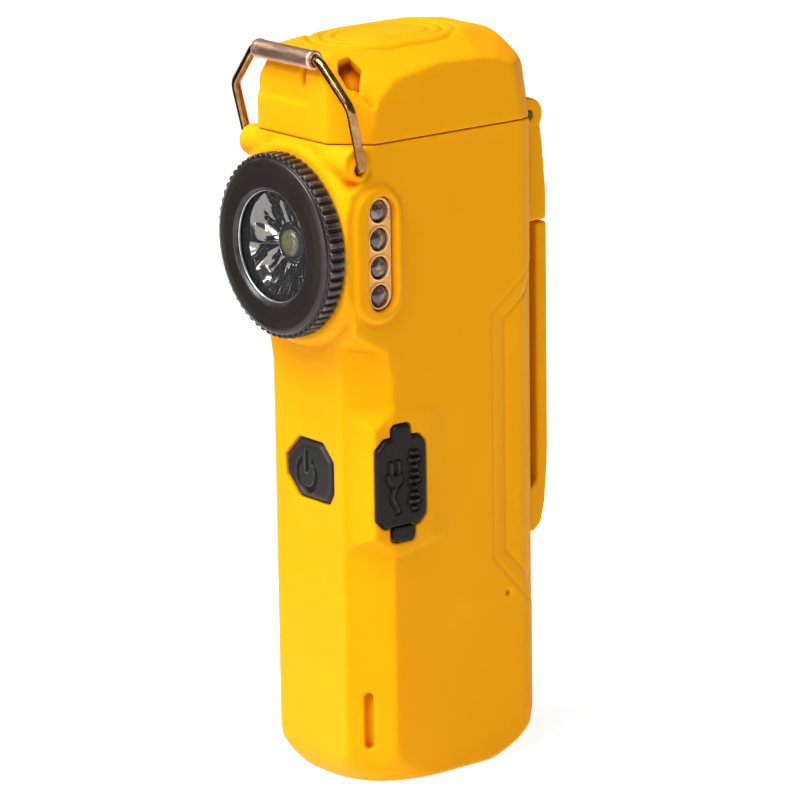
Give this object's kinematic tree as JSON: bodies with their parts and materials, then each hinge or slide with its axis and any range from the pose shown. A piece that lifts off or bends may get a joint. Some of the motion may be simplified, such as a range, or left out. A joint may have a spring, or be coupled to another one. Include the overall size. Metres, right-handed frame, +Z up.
{
  "type": "firefighter flashlight",
  "caption": "Right-angle safety lamp in a square housing with a flip lid, wire bail, turning lamp head, side light, push button, covered charging port and belt clip.",
  "frame": {"origin": "middle of the flat base, on the surface that the lamp stands on", "axes": "+Z up along the body, -Y out of the front along the lamp's beam, +X to the side with the side light and the charging port"},
  "size_m": [0.0438, 0.068, 0.17],
  "materials": {
    "yellow_plastic": "injection moulded, fine matte texture",
    "black_plastic": "satin moulded",
    "black_rubber": "matte moulded rubber",
    "copper_wire": "copper plated spring wire",
    "copper_sleeve": "drawn copper alloy tube",
    "clear_lens": "clear polished window",
    "mirror_coat": "metallised bowl",
    "amber_window": "tinted glossy window",
    "smoke_led": "smoked epoxy lens",
    "emitter": "phosphor under a clear dome",
    "steel": "plated",
    "aluminium": "turned",
    "circuit_board": "green solder resist",
    "cell_wrap": "cell in a shrink wrap",
    "lead_red": "insulated wire",
    "lead_black": "insulated wire",
    "inner_plastic": "plain moulded"
  },
  "bodies": {
    "housing": {"main_housing": "yellow_plastic", "hinge_pin": "steel", "battery_tube": "inner_plastic", "inner_deck": "inner_plastic", "lid_seal": "black_rubber", "bottom_contact": "steel", "bottom_spring": "steel", "battery_cell_lower": "cell_wrap", "battery_cell_upper": "cell_wrap", "bezel_seal": "black_rubber", "reflector": "mirror_coat", "main_led": "emitter", "led_star_board": "aluminium", "heat_sink": "aluminium", "driver_board": "circuit_board", "switch_body": "black_plastic", "driver_chip": "black_plastic", "driver_coil": "steel", "lamp_lead_1": "lead_red", "lamp_lead_2": "lead_black", "usb_socket": "steel", "port_cover_anchor": "black_rubber", "side_window": "amber_window", "side_led_1": "smoke_led", "side_led_2": "smoke_led", "side_led_3": "smoke_led", "side_led_4": "smoke_led", "side_led_board": "circuit_board", "clip_pin": "steel", "clip_spring": "steel"},
    "lid": {"top_lid": "yellow_plastic", "lid_plate": "inner_plastic", "lid_screw_1": "steel", "lid_screw_2": "steel", "lid_contact_spring": "steel"},
    "bail": {"bail_wire": "copper_wire"},
    "sleeve": {"bail_sleeve": "copper_sleeve"},
    "bezel": {"bezel_ring": "black_plastic", "front_lens": "clear_lens", "lens_retainer": "steel"},
    "button": {"power_button": "black_rubber"},
    "plunger": {"switch_plunger": "inner_plastic"},
    "cover": {"port_cover": "black_rubber"},
    "clip": {"belt_clip": "yellow_plastic"}
  },
  "joints": [
    {"name": "lid_hinge", "type": "hinge", "parent": "housing", "child": "lid", "pos_m": [0, 0.0269, 0.1487], "axis": [-1, 0, 0], "range_deg": [0, 100]},
    {"name": "bail_pivot", "type": "hinge", "parent": "housing", "child": "bail", "pos_m": [0, -0.0256, 0.1442], "axis": [1, 0, 0], "range_deg": [0, 100]},
    {"name": "sleeve_spin", "type": "hinge", "parent": "bail", "child": "sleeve", "pos_m": [0, -0.0302, 0.1678], "axis": [1, 0, 0], "continuous": true},
    {"name": "bezel_twist", "type": "hinge", "parent": "housing", "child": "bezel", "pos_m": [0, -0.0307, 0.1252], "axis": [0, 1, 0], "range_deg": [0, 90]},
    {"name": "button_press", "type": "slide", "parent": "housing", "child": "button", "axis": [0, 1, 0], "range_m": [0, 0.0008], "stiffness_N_per_m": 2500},
    {"name": "switch_travel", "type": "slide", "parent": "housing", "child": "plunger", "axis": [0, 1, 0], "range_m": [0, 0.0005]},
    {"name": "cover_flip", "type": "hinge", "parent": "housing", "child": "cover", "pos_m": [0.0212, -0.0157, 0.0613], "axis": [0, 1, 0], "range_deg": [0, 120]},
    {"name": "clip_flex", "type": "hinge", "parent": "housing", "child": "clip", "pos_m": [0, 0.0296, 0.1264], "axis": [1, 0, 0], "range_deg": [0, 8], "stiffness_Nm_per_rad": 2, "springref_deg": -5.73}
  ],
  "couplings": [
    {"joint": "switch_travel", "follows": "button_press", "ratio": 0.625}
  ]
}
